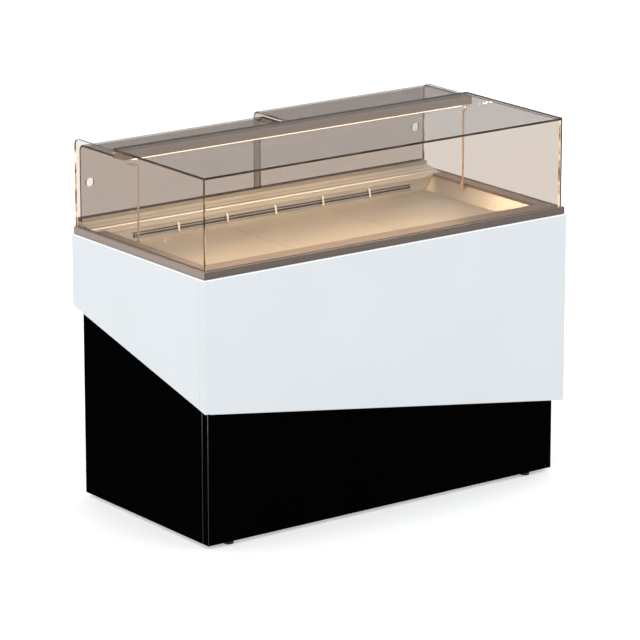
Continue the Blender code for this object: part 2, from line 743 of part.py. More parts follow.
def build_posts():
    """Slim posts that stand on the sloping end walls and turn in under the light bar."""
    slope = math.atan2(TUB_TOP - DECK_TOP, WELL_HALF_L - DECK_HALF_L)
    for end, side in (("left", -1), ("right", 1)):
        foot_z = 0.870
        elbow_z = 1.150
        route = [(side * POST_X, POST_Y, foot_z), (side * POST_X, POST_Y, elbow_z),
                 (side * 0.680, 0.110, elbow_z), (side * 0.680, 0.110, BAR_BOTTOM - FIT)]
        post = tube_mesh(f"{end}_post", bent_path(route, 0.007, 3), POST_RADIUS, STEEL)
        collar = cylinder(f"{end}_post_collar", (side * POST_X, POST_Y, foot_z), 0.034, 0.0075,
                          collection=CUTTERS, sides=20)
        join(post, collar)
        bm = bmesh.new()
        add_box(bm, (-0.15, -0.05, -0.10), (0.15, 0.05, FIT * 3))
        anchor = Vector((side * DECK_HALF_L, POST_Y, DECK_TOP))
        turn = Matrix.Rotation(-slope * side, 4, "Y")
        bmesh.ops.transform(bm, verts=bm.verts, matrix=Matrix.Translation(anchor) @ turn)
        cut(post, mesh_object(f"{end}_post_slant", bm, None, CUTTERS))


# ---------------------------------------------------------------- refrigeration
def finned_coil(name, low, high, foot, paint, bend_side, levels):
    """A finned block between two end plates that stand on foot, with return bends on one end."""
    low = Vector(low)
    high = Vector(high)
    coil = box(name, low, high, paint)
    plate = 0.002
    lip = 0.004
    for label, x in (("near", low.x), ("far", high.x)):
        end = box(f"{name}_{label}_plate", (x - plate / 2, low.y - 0.001, foot + FIT),
                  (x + plate / 2, high.y + 0.001, high.z + lip), collection=CUTTERS)
        join(coil, end)
    middle = (low.y + high.y) / 2
    spread = 0.0125
    x = high.x if bend_side > 0 else low.x
    for number, z in enumerate(levels):
        route = [(x - bend_side * 0.004, middle - spread, z), (x + bend_side * 0.018, middle - spread, z),
                 (x + bend_side * 0.018, middle + spread, z), (x - bend_side * 0.004, middle + spread, z)]
        loop = tube_mesh(f"{name}_bend_{number}", bent_path(route, 0.0115, 3), 0.0045, None,
                         resolution=1, collection=CUTTERS)
        join(coil, loop)


def fan_rotor(name, centre, radius, hub_radius, low_y, high_y, blades):
    """Hub on the Y axis with pitched blades."""
    x, y, z = centre
    hub = cylinder(name, (x, low_y, z), high_y - low_y, hub_radius, "Y", PLASTIC, sides=16)
    depth = (high_y - low_y) * 0.55
    middle = (low_y + high_y) / 2 - (high_y - low_y) * 0.12
    bm = bmesh.new()
    for number in range(blades):
        blade = bmesh.new()
        add_box(blade, (-0.30 * radius, -0.0009, hub_radius * 0.7), (0.30 * radius, 0.0009, radius))
        pitch = Matrix.Rotation(math.asin(min(0.9, depth / (0.62 * radius))), 4, "Z")
        spin = Matrix.Rotation(2 * math.pi * number / blades, 4, "Y")
        place = Matrix.Translation((x, middle, z)) @ spin @ pitch
        bmesh.ops.transform(blade, verts=blade.verts, matrix=place)
        mesh = bpy.data.meshes.new("blade")
        blade.to_mesh(mesh)
        blade.free()
        bm.from_mesh(mesh)
        bpy.data.meshes.remove(mesh)
    join(hub, mesh_object(name + "_blades", bm, None, CUTTERS))
    return origin_at(hub, (x, y, z))


def build_evaporator():
    finned_coil("evaporator_coil", EVAPORATOR_LOW, EVAPORATOR_HIGH, TANK_BOTTOM, ALUMINIUM, -1,
                (0.68, 0.72, 0.76))
    plate = box("evaporator_fan_plate", (EVAPORATOR_LOW[0], FAN_PLATE_Y, TANK_BOTTOM + FIT),
                (EVAPORATOR_HIGH[0], FAN_PLATE_Y + 0.002, 0.810), STEEL)
    for end, x in (("left", FAN_LEFT_X), ("right", FAN_RIGHT_X)):
        mouth = cylinder(f"fan_mouth_{end}", (x, 0.05, FAN_Z), 0.05, 0.062, "Y",
                         collection=CUTTERS, sides=28)
        cut(plate, mouth)
        near = FAN_PLATE_Y + 0.002 + FIT
        motor = cylinder(f"evaporator_fan_motor_{end}", (x, 0.118, FAN_Z), 0.034, 0.026, "Y",
                         PLASTIC, sides=20)
        strap = [(x - 0.078, near), (x - 0.066, near), (x - 0.066, near + 0.002),
                 (x - 0.074, near + 0.002), (x - 0.074, 0.124), (x + 0.074, 0.124),
                 (x + 0.074, near + 0.002), (x + 0.066, near + 0.002), (x + 0.066, near),
                 (x + 0.078, near), (x + 0.078, 0.127), (x - 0.078, 0.127)]
        bracket = outline(f"fan_strap_{end}", strap, "Z", FAN_Z - 0.008, FAN_Z + 0.008,
                          collection=CUTTERS)
        join(motor, bracket)
        fan_rotor(f"evaporator_fan_rotor_{end}", (x, 0.095, FAN_Z), 0.056, 0.018, 0.080, 0.1175, 5)


def build_condenser():
    finned_coil("condenser_coil", COIL_LOW, COIL_HIGH, FRAME_FLOOR, ALUMINIUM, 1,
                (0.11, 0.17, 0.23, 0.29, 0.35))
    low = FRAME_FLOOR + FIT
    left, right, top = COIL_LOW[0], COIL_HIGH[0], COIL_HIGH[2]
    shroud = box("condenser_shroud", (left, 0.2300, low), (right, 0.2325, top), ZINC)
    collar = cylinder("shroud_collar", (COOLING_X, 0.2080, COOLING_Z), 0.0235, 0.1345, "Y",
                      collection=CUTTERS, sides=36)
    mouth = cylinder("shroud_mouth", (COOLING_X, 0.1900, COOLING_Z), 0.060, 0.1320, "Y",
                     collection=CUTTERS, sides=36)
    flanges = boxes("shroud_flanges", [((left, 0.2315, low), (left + 0.002, 0.2600, top)),
                                       ((right - 0.002, 0.2315, low), (right, 0.2600, top))])
    join(shroud, collar, flanges)
    cut(shroud, mouth)
    x = COOLING_X
    motor = cylinder("condenser_fan_motor", (x, 0.120, COOLING_Z), 0.060, 0.038, "Y", PLASTIC, sides=24)
    stand = boxes("motor_stand", [((x - 0.006, 0.140, 0.030), (x + 0.006, 0.160, COOLING_Z))])
    sole = boxes("motor_sole", [((x - 0.040, 0.125, low), (x + 0.040, 0.175, 0.032))])
    join(motor, stand, sole)
    fan_rotor("condenser_fan_rotor", (x, 0.205, COOLING_Z), 0.125, 0.030, 0.1806, 0.2280, 5)


def build_compressor():
    bottom = 0.050
    profile = [(0.0, 0.190), (0.030, 0.188), (0.058, 0.178), (0.076, 0.160), (0.082, 0.135),
               (0.082, 0.098), (0.086, 0.096), (0.086, 0.088), (0.082, 0.086), (0.080, 0.040),
               (0.066, 0.014), (0.040, 0.0), (0.0, 0.0)]
    shell = turned("compressor", profile, (COMPRESSOR_X, COMPRESSOR_Y, bottom), "Z", BLACK, steps=28)
    x, y = COMPRESSOR_X, COMPRESSOR_Y
    legs = boxes("compressor_legs", [((x - 0.100, y - 0.070, 0.046), (x + 0.100, y + 0.070, 0.052))])
    foot = 0.010
    mounts = []
    for mount_x in (x - 0.085, x + 0.085):
        for mount_y in (y - 0.055, y + 0.055):
            mounts.append(((mount_x - foot, mount_y - foot, FRAME_FLOOR + FIT),
                           (mount_x + foot, mount_y + foot, 0.048)))
    terminal = boxes("compressor_terminal", [((x + 0.060, y - 0.035, 0.120),
                                              (x + 0.108, y + 0.035, 0.185))])
    suction = cylinder("compressor_suction_stub", (x - 0.100, y, 0.180), 0.040, 0.0080, "X",
                       collection=CUTTERS, sides=12)
    discharge = cylinder("compressor_discharge_stub", (x - 0.098, y + 0.030, 0.120), 0.040, 0.0050,
                         "X", collection=CUTTERS, sides=12)
    join(shell, legs, boxes("compressor_mounts", mounts), terminal, suction, discharge)


def build_pipes():
    sx, sy = SUCTION_HOLE
    lx, ly = LIQUID_HOLE
    start = EVAPORATOR_HIGH[0] + 0.001 + FIT
    stub = COMPRESSOR_X - 0.100 - FIT
    y = COMPRESSOR_Y
    suction = [(start, 0.030, 0.760), (sx, 0.030, 0.760), (sx, sy, 0.700), (sx, sy, 0.470),
               (stub - 0.030, y, 0.440), (stub - 0.030, y, 0.180), (stub, y, 0.180)]
    tube("suction_pipe", bent_path(suction, 0.022), 0.0070, COPPER)
    stub = COMPRESSOR_X - 0.098 - FIT
    y = COMPRESSOR_Y + 0.030
    face = COIL_LOW[0] - 0.001 - FIT
    discharge = [(stub, y, 0.120), (stub - 0.060, y, 0.120), (stub - 0.060, y, 0.360),
                 (0.060, 0.287, 0.360), (face, 0.287, 0.360)]
    tube("discharge_pipe", bent_path(discharge, 0.014), 0.0040, COPPER)
    drier = [(0.0, 0.075), (0.0045, 0.074), (0.0045, 0.064), (0.014, 0.052), (0.014, -0.052),
             (0.0045, -0.064), (0.0045, -0.074), (0.0, -0.075)]
    x, y = DRIER_PLACE
    shell = turned("filter_drier", drier, (x, y, 0.220), "Z", None, steps=16, collection=CUTTERS)
    tail = [(COIL_HIGH[0] + 0.001 + FIT, 0.272, 0.090), (x, 0.272, 0.090), (x, y, 0.110), (x, y, 0.150)]
    tail = tube_mesh("drier_tail", bent_path(tail, 0.012, 3), 0.0035, None, collection=CUTTERS)
    liquid = [(x, y, 0.285), (x, y, 0.440), (lx, ly, 0.480), (lx, ly, 0.680), (lx, -0.020, 0.700),
              (start, -0.020, 0.700)]
    join(tube_mesh("liquid_pipe", bent_path(liquid, 0.014), 0.0035, COPPER), shell, tail)
    dx, dy = DRAIN_HOLE
    turned("drain_pipe", [(0.0110, 0.6200), (0.0110, 0.0800), (0.0095, 0.0800), (0.0095, 0.6200)],
           (dx, dy, 0.0), "Z", GREY_PLASTIC, steps=16, closed=True)


def build_condensate_tray():
    tray = box("condensate_tray", (-0.380, 0.060, FRAME_FLOOR + FIT), (-0.060, 0.290, 0.110),
               GREY_PLASTIC, rounding=0.004, segments=1)
    cut(tray, box("condensate_room", (-0.377, 0.063, 0.0275), (-0.063, 0.287, 0.15),
                  collection=CUTTERS))


# ---------------------------------------------------------------- rear controls
def build_switch(name, x):
    """Rocker in its on position, on a pivot along X."""
    half = 0.0115
    section = [(-0.0040, -0.0080), (0.0030, -half), (0.0012, 0.0), (0.0030, half), (-0.0040, 0.0080)]
    tilt = Matrix.Rotation(SWITCH_TILT, 2)
    points = [tuple(tilt @ Vector(point)) for point in section]
    points = [(SWITCH_PIVOT_Y + y, CONTROL_Z + z) for y, z in points]
    rocker = outline(name, points, "X", x - 0.008, x + 0.008, PLASTIC)
    origin_at(rocker, (x, SWITCH_PIVOT_Y, CONTROL_Z))


def build_controls():
    bezel = box("control_panel", (CONTROL_X - 0.125, REAR_PANEL_Y + FIT, CONTROL_Z - 0.028),
                (CONTROL_X + 0.125, 0.3670, CONTROL_Z + 0.028), GREY_PLASTIC, rounding=0.0015, segments=1)
    switch_places = {"light_switch": CONTROL_X - 0.085, "main_switch": CONTROL_X - 0.055}
    button_places = {"up_button": 0.006, "down_button": -0.010}
    holes = []
    for name, x in switch_places.items():
        holes.append(((x - 0.0085, 0.35, CONTROL_Z - 0.0145), (x + 0.0085, 0.38, CONTROL_Z + 0.0145)))
        build_switch(name, x)
    x = CONTROL_X + 0.085
    for name, dz in button_places.items():
        z = CONTROL_Z + dz + 0.002
        holes.append(((x - 0.0085, 0.35, z - 0.0055), (x + 0.0085, 0.38, z + 0.0055)))
        button = box(name, (x - 0.008, 0.3600, z - 0.005), (x + 0.008, 0.3690, z + 0.005), PLASTIC,
                     rounding=0.001, segments=1)
        origin_at(button, (x, 0.3645, z))
    cut(bezel, boxes("control_holes", holes))
    screen = box("screen_recess", (CONTROL_X - 0.030, 0.3655, CONTROL_Z - 0.014),
                 (CONTROL_X + 0.060, 0.38, CONTROL_Z + 0.014), collection=CUTTERS)
    cut(bezel, screen)
    ring = [(0.0080, 0.0125), (0.0115, 0.0110), (0.0120, 0.0050), (0.0140, 0.0048), (0.0140, 0.0003),
            (0.0080, 0.0003), (0.0080, -0.0080), (0.0050, -0.0080), (0.0050, 0.0125)]
    turned("mains_inlet", ring, (-0.600, BASE_REAR, 0.100), "Y", PLASTIC, steps=16, closed=True)


build_chassis()
build_feet()
build_upper_panels()
build_base_panels()
build_rear_grille()
build_tub()
build_rim()
build_ledge()
build_air_duct()
build_trays()
build_canopy()
build_doors()
build_light_bar()
build_posts()
build_evaporator()
build_condenser()
build_compressor()
build_pipes()
build_condensate_tray()
build_controls()
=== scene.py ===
"""Looks of the refrigerated display counter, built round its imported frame. Metres, +Z up."""
import math

import bmesh
import bpy
from mathutils import Matrix, Vector


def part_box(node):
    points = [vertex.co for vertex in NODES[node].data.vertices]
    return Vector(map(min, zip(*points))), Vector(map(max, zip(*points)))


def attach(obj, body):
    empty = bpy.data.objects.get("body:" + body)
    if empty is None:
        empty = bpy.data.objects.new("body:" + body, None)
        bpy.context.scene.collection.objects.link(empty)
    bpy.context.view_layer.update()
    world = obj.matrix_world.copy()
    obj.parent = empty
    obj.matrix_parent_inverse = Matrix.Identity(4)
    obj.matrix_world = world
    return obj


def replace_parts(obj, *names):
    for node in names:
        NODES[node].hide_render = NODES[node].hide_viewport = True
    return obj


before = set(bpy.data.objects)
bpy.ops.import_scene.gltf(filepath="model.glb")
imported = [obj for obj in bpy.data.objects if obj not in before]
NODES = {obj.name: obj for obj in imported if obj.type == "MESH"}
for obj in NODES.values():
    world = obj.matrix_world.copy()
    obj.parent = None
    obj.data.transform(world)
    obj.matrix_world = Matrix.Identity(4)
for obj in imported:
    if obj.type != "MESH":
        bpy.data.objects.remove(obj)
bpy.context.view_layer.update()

# ---------------------------------------------------------------- named sizes and colours
CAMERA_YAW = 36.53           # degrees clockwise from +Y
CAMERA_PITCH = 15.43         # degrees below the horizon
CAMERA_PLACE = (-7.4915, -10.1052, 4.0287)
CAMERA_LENS = 225.84

WARM = (1.0, 0.82, 0.57)     # the strip light in the canopy
NEUTRAL = (1.0, 0.985, 0.97)
FLOOR_REACH = 40.0
FLOOR_DROP = 0.0005          # keeps the floor off the undersides of the feet

GRAIN_FINE = 900.0           # brushing lines across the grain
GRAIN_LONG = 5.0             # and along it
HEAD_ON_MIRROR = 0.04        # share of light that clear glass mirrors, seen square on
WELL_STEEL = ((0.62, 0.58, 0.52), 0.46)
DOOR_TINT = (0.720, 0.676, 0.640)

DUCT_LEAN = 0.3              # how far the cold-air duct leans back for its rise
DUCT_FOOT = 0.2492           # front face of the duct, at the level of the deck
WALL_FOOT = 0.6212           # where the sloping end walls of the well reach the deck
OUTLET_RIB_PITCH = 0.193

SLIDER_LENGTH = 0.040
SLIDER_INSET = 0.060

SCREW_RADIUS = 0.0042
SCREW_STEPS = 16
SCREW_PROFILE = ((1.0, 0.0), (1.0, 0.22), (0.86, 0.42), (0.5, 0.55), (0.18, 0.58))
SCREW_RECESS = 0.34          # height of the dish's middle, like the profile a share of the radius

BEND_ROOM = 0.0225           # room for the return bends beside a coil's outer end plate
PLATE_HALF = 0.001           # half the thickness of an end plate
FIN_HALF = 0.00012
TUBE_RADIUS = 0.0045
TUBE_OFFSET = 0.0125         # each tube of a pair, from the coil's middle

UP = Vector((0.0, 0.0, 1.0))
SIDES = ("left", "right")


# ---------------------------------------------------------------- camera and studio
def make_camera():
    data = bpy.data.cameras.new("photo_camera")
    data.lens = CAMERA_LENS
    data.clip_end = 200.0
    camera = bpy.data.objects.new("photo_camera", data)
    camera.location = CAMERA_PLACE
    camera.rotation_euler = (math.radians(90 - CAMERA_PITCH), 0.0, math.radians(-CAMERA_YAW))
    bpy.context.scene.collection.objects.link(camera)
    bpy.context.scene.camera = camera


def area_light(name, place, target, size, power, color=NEUTRAL):
    data = bpy.data.lights.new(name, "AREA")
    data.shape = "RECTANGLE"
    data.size, data.size_y = size
    data.energy = power
    data.color = color
    lamp = bpy.data.objects.new(name, data)
    lamp.location = place
    aim = Vector(target) - Vector(place)
    lamp.rotation_euler = aim.to_track_quat("-Z", "Y").to_euler()
    bpy.context.scene.collection.objects.link(lamp)


def make_strip_light():
    """Light of the canopy's strip, downwards and towards the rear ledge."""
    low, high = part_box("led_diffuser")
    middle = (low + high) / 2
    strip = (high.x - low.x, high.y - low.y)
    place = (middle.x, middle.y, low.z - 0.002)
    area_light("led_down", place, (middle.x, middle.y - 0.35, 0.85), strip, 4.6, WARM)
    area_light("led_back", place, (middle.x, middle.y + 0.30, 0.90), strip, 3.2, WARM)


def make_floor():
    bm = bmesh.new()
    bmesh.ops.create_grid(bm, x_segments=2, y_segments=2, size=FLOOR_REACH)
    mesh = bpy.data.meshes.new("studio_floor")
    bm.to_mesh(mesh)
    bm.free()
    floor = bpy.data.objects.new("studio_floor", mesh)
    floor.location.z = -FLOOR_DROP
    bpy.context.scene.collection.objects.link(floor)
    paint = Paint("studio_floor_paint")
    paint.shader.inputs["Base Color"].default_value = (0.95, 0.95, 0.95, 1.0)
    paint.shader.inputs["Emission Color"].default_value = (1.0, 1.0, 1.0, 1.0)
    paint.set(roughness=0.9, emission_strength=0.26)
    mesh.materials.append(paint.material)


def make_studio():
    scene = bpy.context.scene
    scene.view_settings.view_transform = "Standard"
    scene.world = bpy.data.worlds.new("studio")
    scene.world.use_nodes = True
    sky = scene.world.node_tree.nodes["Background"]
    sky.inputs["Color"].default_value = (0.985, 0.99, 1.0, 1.0)
    sky.inputs["Strength"].default_value = 1.12
    area_light("front_softbox", (-2.2, -5.0, 2.6), (0.0, 0.0, 0.55), (3.6, 2.6), 14.0)
    area_light("left_softbox", (-5.0, 0.4, 2.2), (0.0, 0.0, 0.55), (3.0, 2.4), 10.0)
    make_strip_light()
    make_floor()


# ---------------------------------------------------------------- node materials
class Paint:
    """A Principled material with short calls for its nodes. Patterns use the object's own metres."""

    def __init__(self, name):
        self.material = bpy.data.materials.new(name)
        self.material.use_nodes = True
        self.tree = self.material.node_tree
        self.shader = self.tree.nodes["Principled BSDF"]
        coordinates = self.node("ShaderNodeTexCoord")
        self.place = coordinates.outputs["Object"]
        self.normal = coordinates.outputs["Normal"]

    def node(self, kind, **values):
        made = self.tree.nodes.new(kind)
        for key, value in values.items():
            setattr(made, key, value)
        return made

    def join(self, source, target):
        self.tree.links.new(source, target)

    def along(self, vector, axis):
        """One coordinate of a vector."""
        split = self.node("ShaderNodeSeparateXYZ")
        self.join(vector, split.inputs["Vector"])
        return split.outputs[axis]

    def stretched(self, scale):
        mapping = self.node("ShaderNodeMapping")
        mapping.inputs["Scale"].default_value = scale
        self.join(self.place, mapping.inputs["Vector"])
        return mapping.outputs["Vector"]

    def noise(self, scale, detail=3.0, stretch=None):
        made = self.node("ShaderNodeTexNoise")
        made.inputs["Scale"].default_value = scale
        made.inputs["Detail"].default_value = detail
        self.join(self.stretched(stretch) if stretch else self.place, made.inputs["Vector"])
        return made.outputs["Fac"]

    def grain(self, along="X"):
        """Fine brushing lines along one axis."""
        stretch = [GRAIN_FINE] * 3
        stretch["XYZ".index(along)] = GRAIN_LONG
        return self.noise(1.0, stretch=tuple(stretch))

    def cells(self, scale, output="Color"):
        made = self.node("ShaderNodeTexVoronoi")
        made.inputs["Scale"].default_value = scale
        self.join(self.place, made.inputs["Vector"])
        return made.outputs[output]

    def ramp(self, source, stops):
        """A colour ramp through (position, colour) stops."""
        made = self.node("ShaderNodeValToRGB")
        elements = made.color_ramp.elements
        while len(elements) < len(stops):
            elements.new(0.5)
        for element, (position, color) in zip(elements, stops):
            element.position = position
            element.color = (*color, 1.0)
        self.join(source, made.inputs["Fac"])
        return made.outputs["Color"]

    def remap(self, source, low, high, start=0.3, end=0.7):
        """A value that goes from low to high as source goes from start to end."""
        made = self.node("ShaderNodeMapRange")
        for key, value in zip(("From Min", "From Max", "To Min", "To Max"), (start, end, low, high)):
            made.inputs[key].default_value = value
        self.join(source, made.inputs["Value"])
        return made.outputs["Result"]

    def math(self, operation, first, second=0.0):
        made = self.node("ShaderNodeMath", operation=operation)
        for socket, value in zip(made.inputs, (first, second)):
            if isinstance(value, (int, float)):
                socket.default_value = value
            else:
                self.join(value, socket)
        return made.outputs["Value"]

    def blend(self, share, first, second):
        """First colour, turning into the fixed second one as share goes to 1."""
        made = self.node("ShaderNodeMix", data_type="RGBA")
        self.join(share, made.inputs["Factor"])
        self.join(first, made.inputs["A"])
        made.inputs["B"].default_value = (*second, 1.0)
        return made.outputs["Result"]

    def blend_shaders(self, share, first, second):
        """First shader, turning into the second one as share goes to 1."""
        made = self.node("ShaderNodeMixShader")
        for socket, source in zip(made.inputs, (share, first, second)):
            self.join(source, socket)
        return made.outputs["Shader"]

    def color(self, source):
        self.join(source, self.shader.inputs["Base Color"])

    def roughness(self, source):
        self.join(source, self.shader.inputs["Roughness"])

    def bump(self, height, distance):
        made = self.node("ShaderNodeBump")
        made.inputs["Distance"].default_value = distance
        made.inputs["Strength"].default_value = 1.0
        self.join(height, made.inputs["Height"])
        self.join(made.outputs["Normal"], self.shader.inputs["Normal"])

    def specular(self, level):
        self.shader.inputs["Specular IOR Level"].default_value = level

    def set(self, **values):
        for key, value in values.items():
            self.shader.inputs[key.replace("_", " ").title()].default_value = value


def scaled(color, factor):
    return tuple(min(1.0, c * factor) for c in color)


def shades(color, spread):
    """Darker, same and lighter versions of a colour, for a ramp."""
    return [(0.3, scaled(color, 1 - spread)), (0.5, color), (0.7, scaled(color, 1 + spread))]


def lacquer(name, color, rough, spread=0.025, coat=0.15, gloss=0.5, highlight_above=None):
    """Sprayed enamel: a faint orange peel, slow colour drift and handling smears.

    Above the given height it is painted near white, a painted highlight along the top edge.
    """
    paint = Paint(name)
    body = paint.ramp(paint.noise(3.0), shades(color, spread))
    if highlight_above:
        # painted highlight: the band above the given height is painted near white
        painted_highlight_band = paint.math("GREATER_THAN", paint.along(paint.place, "Z"), highlight_above)
        body = paint.blend(painted_highlight_band, body, (0.95, 0.96, 0.97))
    paint.color(body)
    paint.roughness(paint.remap(paint.noise(7.0, 5.0), rough - 0.05, rough + 0.06))
    paint.bump(paint.noise(420.0, 2.0), 0.00003)
    paint.specular(gloss)
    paint.set(coat_weight=coat, coat_roughness=0.12)
    return paint.material


def brushed(name, color, rough, along="X", spread=0.10, metallic=1.0):
    """Metal with fine grain lines along one axis."""
    paint = Paint(name)
    grain = paint.grain(along)
    paint.color(paint.ramp(grain, shades(color, spread)))
    paint.roughness(paint.remap(grain, rough - 0.07, rough + 0.09))
    paint.bump(grain, 0.00002)
    paint.set(metallic=metallic)
    return paint.material


def bronze(name, color, rough):
    """Bronze-anodised rim: brushed flanges, and painted shade that darkens the face towards the customer.
    """
    paint = Paint(name)
    grain = paint.grain()
    # painted shade: faces towards the customer are painted darker
    front = paint.math("LESS_THAN", paint.along(paint.normal, "Y"), -0.6)
    flange = paint.ramp(grain, shades(color, 0.06))
    paint.color(paint.blend(front, flange, scaled(color, 0.40)))
    paint.roughness(paint.remap(grain, rough - 0.06, rough + 0.08))
    paint.bump(grain, 0.00002)
    paint.set(metallic=0.45)
    return paint.material


def grooved(name, color, rough):
    """Brushed ledge with three rolled grooves along it, drawn as grey lines of painted shade."""
    paint = Paint(name)
    grain = paint.grain()
    low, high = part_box("rear_ledge")
    middle = (low.y + high.y) / 2
    depth = paint.along(paint.place, "Y")
    body = paint.ramp(grain, shades(color, 0.02))
    # painted shade: narrow grey lines stand in for the shade inside each groove
    for offset, half_width in ((-0.034, 0.0010), (-0.014, 0.0014), (0.004, 0.0009)):
        away = paint.math("ABSOLUTE", paint.math("SUBTRACT", depth, middle + offset))
        body = paint.blend(paint.math("LESS_THAN", away, half_width), body, (0.30, 0.275, 0.285))
    paint.color(body)
    paint.roughness(paint.remap(grain, rough - 0.03, rough + 0.04))
    paint.bump(paint.noise(600.0), 0.000005)
    paint.set(metallic=0.7)
    return paint.material


def galvanised(name):
    """Zinc spangle."""
    paint = Paint(name)
    paint.color(paint.ramp(paint.cells(85.0), shades((0.50, 0.52, 0.54), 0.22)))
    paint.roughness(paint.remap(paint.noise(60.0), 0.35, 0.55))
    paint.bump(paint.noise(300.0), 0.00003)
    paint.set(metallic=1.0)
    return paint.material


def moulded(name, color, rough, pits=900.0):
    """Plastic or rubber with a spark-eroded texture."""
    paint = Paint(name)
    paint.color(paint.ramp(paint.noise(40.0), shades(color, 0.12)))
    paint.roughness(paint.remap(paint.noise(120.0), rough - 0.06, rough + 0.08))
    paint.bump(paint.cells(pits, output="Distance"), 0.00004)
    return paint.material


def foam(name):
    """Cut polyurethane foam with open cells."""
    paint = Paint(name)
    paint.color(paint.ramp(paint.noise(25.0, 5.0), shades((0.78, 0.70, 0.45), 0.18)))
    paint.bump(paint.cells(260.0, output="Distance"), 0.0006)
    paint.set(roughness=0.9)
    return paint.material


def copper(name):
    """Drawn copper tube with brown tarnish."""
    paint = Paint(name)
    paint.color(paint.ramp(paint.noise(30.0, 6.0), shades((0.72, 0.38, 0.24), 0.25)))
    paint.roughness(paint.remap(paint.noise(90.0, 5.0), 0.22, 0.45))
    paint.bump(paint.noise(500.0), 0.00002)
    paint.set(metallic=1.0)
    return paint.material


def diffuser(name):
    """Frosted strip, lit from inside by a row of diodes."""
    paint = Paint(name)
    dots = paint.node("ShaderNodeTexWave", wave_type="BANDS", bands_direction="X")
    dots.inputs["Scale"].default_value = 20.0
    dots.inputs["Distortion"].default_value = 0.0
    paint.join(paint.place, dots.inputs["Vector"])
    between, beside, over = (1.0, 0.72, 0.40), (1.0, 0.84, 0.60), (1.0, 0.93, 0.78)
    glow = paint.ramp(dots.outputs["Fac"], [(0.0, between), (0.6, beside), (1.0, over)])
    paint.color(glow)
    paint.join(glow, paint.shader.inputs["Emission Color"])
    paint.set(emission_strength=4.0, roughness=0.5)
    return paint.material


def rolled_edge(name):
    """Black enamel with a painted highlight that grows brighter towards the top."""
    paint = Paint(name)
    # painted highlight: grey rising from near black at the foot to light grey at the top
    highlight_fade = paint.remap(paint.along(paint.place, "Z"), 0.0, 1.0, 0.12, 0.46)
    uneven_highlight = paint.math("MULTIPLY", highlight_fade, paint.remap(paint.noise(30.0), 0.75, 1.0))
    greys = [(0.0, 0.010), (0.55, 0.040), (1.0, 0.26)]
    paint.color(paint.ramp(uneven_highlight, [(position, (grey, grey, grey)) for position, grey in greys]))
    paint.set(roughness=0.25)
    return paint.material


def dark_window(name):
    paint = Paint(name)
    paint.color(paint.ramp(paint.noise(60.0), shades((0.012, 0.010, 0.010), 0.3)))
    paint.set(roughness=0.08, coat_weight=0.8, coat_roughness=0.03)
    return paint.material


def lit_segment(name):
    paint = Paint(name)
    paint.color(paint.ramp(paint.noise(300.0), shades((0.80, 0.10, 0.03), 0.2)))
    paint.shader.inputs["Emission Color"].default_value = (1.0, 0.12, 0.03, 1.0)
    paint.set(emission_strength=1.5, roughness=0.4)
    return paint.material


def schlick(paint):
    """Mirror share of clear glass, the same for both sides of a face."""
    facing = paint.node("ShaderNodeLayerWeight").outputs["Facing"]
    grazing = paint.math("POWER", facing, 5.0)
    return paint.math("ADD", paint.math("MULTIPLY", grazing, 1.0 - HEAD_ON_MIRROR), HEAD_ON_MIRROR)


def pane_face(paint, tint, gloss):
    """See-through tinted face, with mirroring that grows at grazing angles."""
    clear = paint.node("ShaderNodeBsdfTransparent")
    clear.inputs["Color"].default_value = (*tint, 1.0)
    mirror = paint.node("ShaderNodeBsdfGlossy")
    mirror.inputs["Roughness"].default_value = 0.03
    mirror.inputs["Color"].default_value = (gloss, gloss, gloss, 1.0)
    return paint.blend_shaders(schlick(paint), clear.outputs["BSDF"], mirror.outputs["BSDF"])


def pane_edge(paint, edge):
    """Dark cut edge with grinding streaks."""
    stops = [(0.35, scaled(edge, 0.5)), (0.5, edge), (0.66, scaled(edge, 2.2))]
    paint.color(paint.ramp(paint.noise(14.0, 4.0), stops))
    paint.specular(0.12)
    paint.set(roughness=0.25)
    return paint.shader.outputs["BSDF"]


def light_front_edge(paint):
    """The edge bonded to the front pane carries the strip's light, in patches."""
    dim, middling, bright = (0.10, 0.05, 0.012), (0.62, 0.33, 0.10), (1.0, 0.80, 0.50)
    lit = paint.ramp(paint.noise(22.0, 2.0), [(0.42, dim), (0.52, middling), (0.62, bright)])
    elsewhere = paint.math("GREATER_THAN", paint.along(paint.normal, "Y"), -0.7)
    glow = paint.blend(elsewhere, lit, (0.0, 0.0, 0.0))
    paint.join(glow, paint.shader.inputs["Emission Color"])
    paint.set(emission_strength=1.7)


def glass(name, thin, tint=(0.862, 0.826, 0.796), edge=(0.020, 0.013, 0.006), gloss=0.34, glow=False):
    """Bronze-tinted pane. It is see-through across its thin axes, and its cut edges are dark."""
    paint = Paint(name)
    face = pane_face(paint, tint, gloss)
    rim = pane_edge(paint, edge)
    if glow:
        light_front_edge(paint)
    across = [paint.math("ABSOLUTE", paint.along(paint.normal, axis)) for axis in thin]
    flat = across[0]
    for other in across[1:]:
        flat = paint.math("MAXIMUM", flat, other)
    whole = paint.blend_shaders(paint.math("LESS_THAN", flat, 0.60), face, rim)
    paint.join(whole, paint.tree.nodes["Material Output"].inputs["Surface"])
    return paint.material


def dress(material, *names):
    for name in names:
        mesh = NODES[name].data
        mesh.materials.clear()
        mesh.materials.append(material)


def paint_panels():
    # height above which the panels carry a painted highlight along their top edge
    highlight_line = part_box("upper_front_panel")[1].z - 0.0035
    white = lacquer("white_enamel", (0.600, 0.634, 0.654), 0.34, spread=0.012, highlight_above=highlight_line)
    dress(white, "upper_front_panel", "upper_left_panel", "upper_right_panel", "upper_rear_panel")
    black = lacquer("black_enamel", (0.0009, 0.0009, 0.0010), 0.36, spread=0.15, coat=0.0, gloss=0.0)
    dress(black, "base_front_panel", "base_left_panel", "base_right_panel", "base_rear_panel",
          "rear_grille", "compressor")


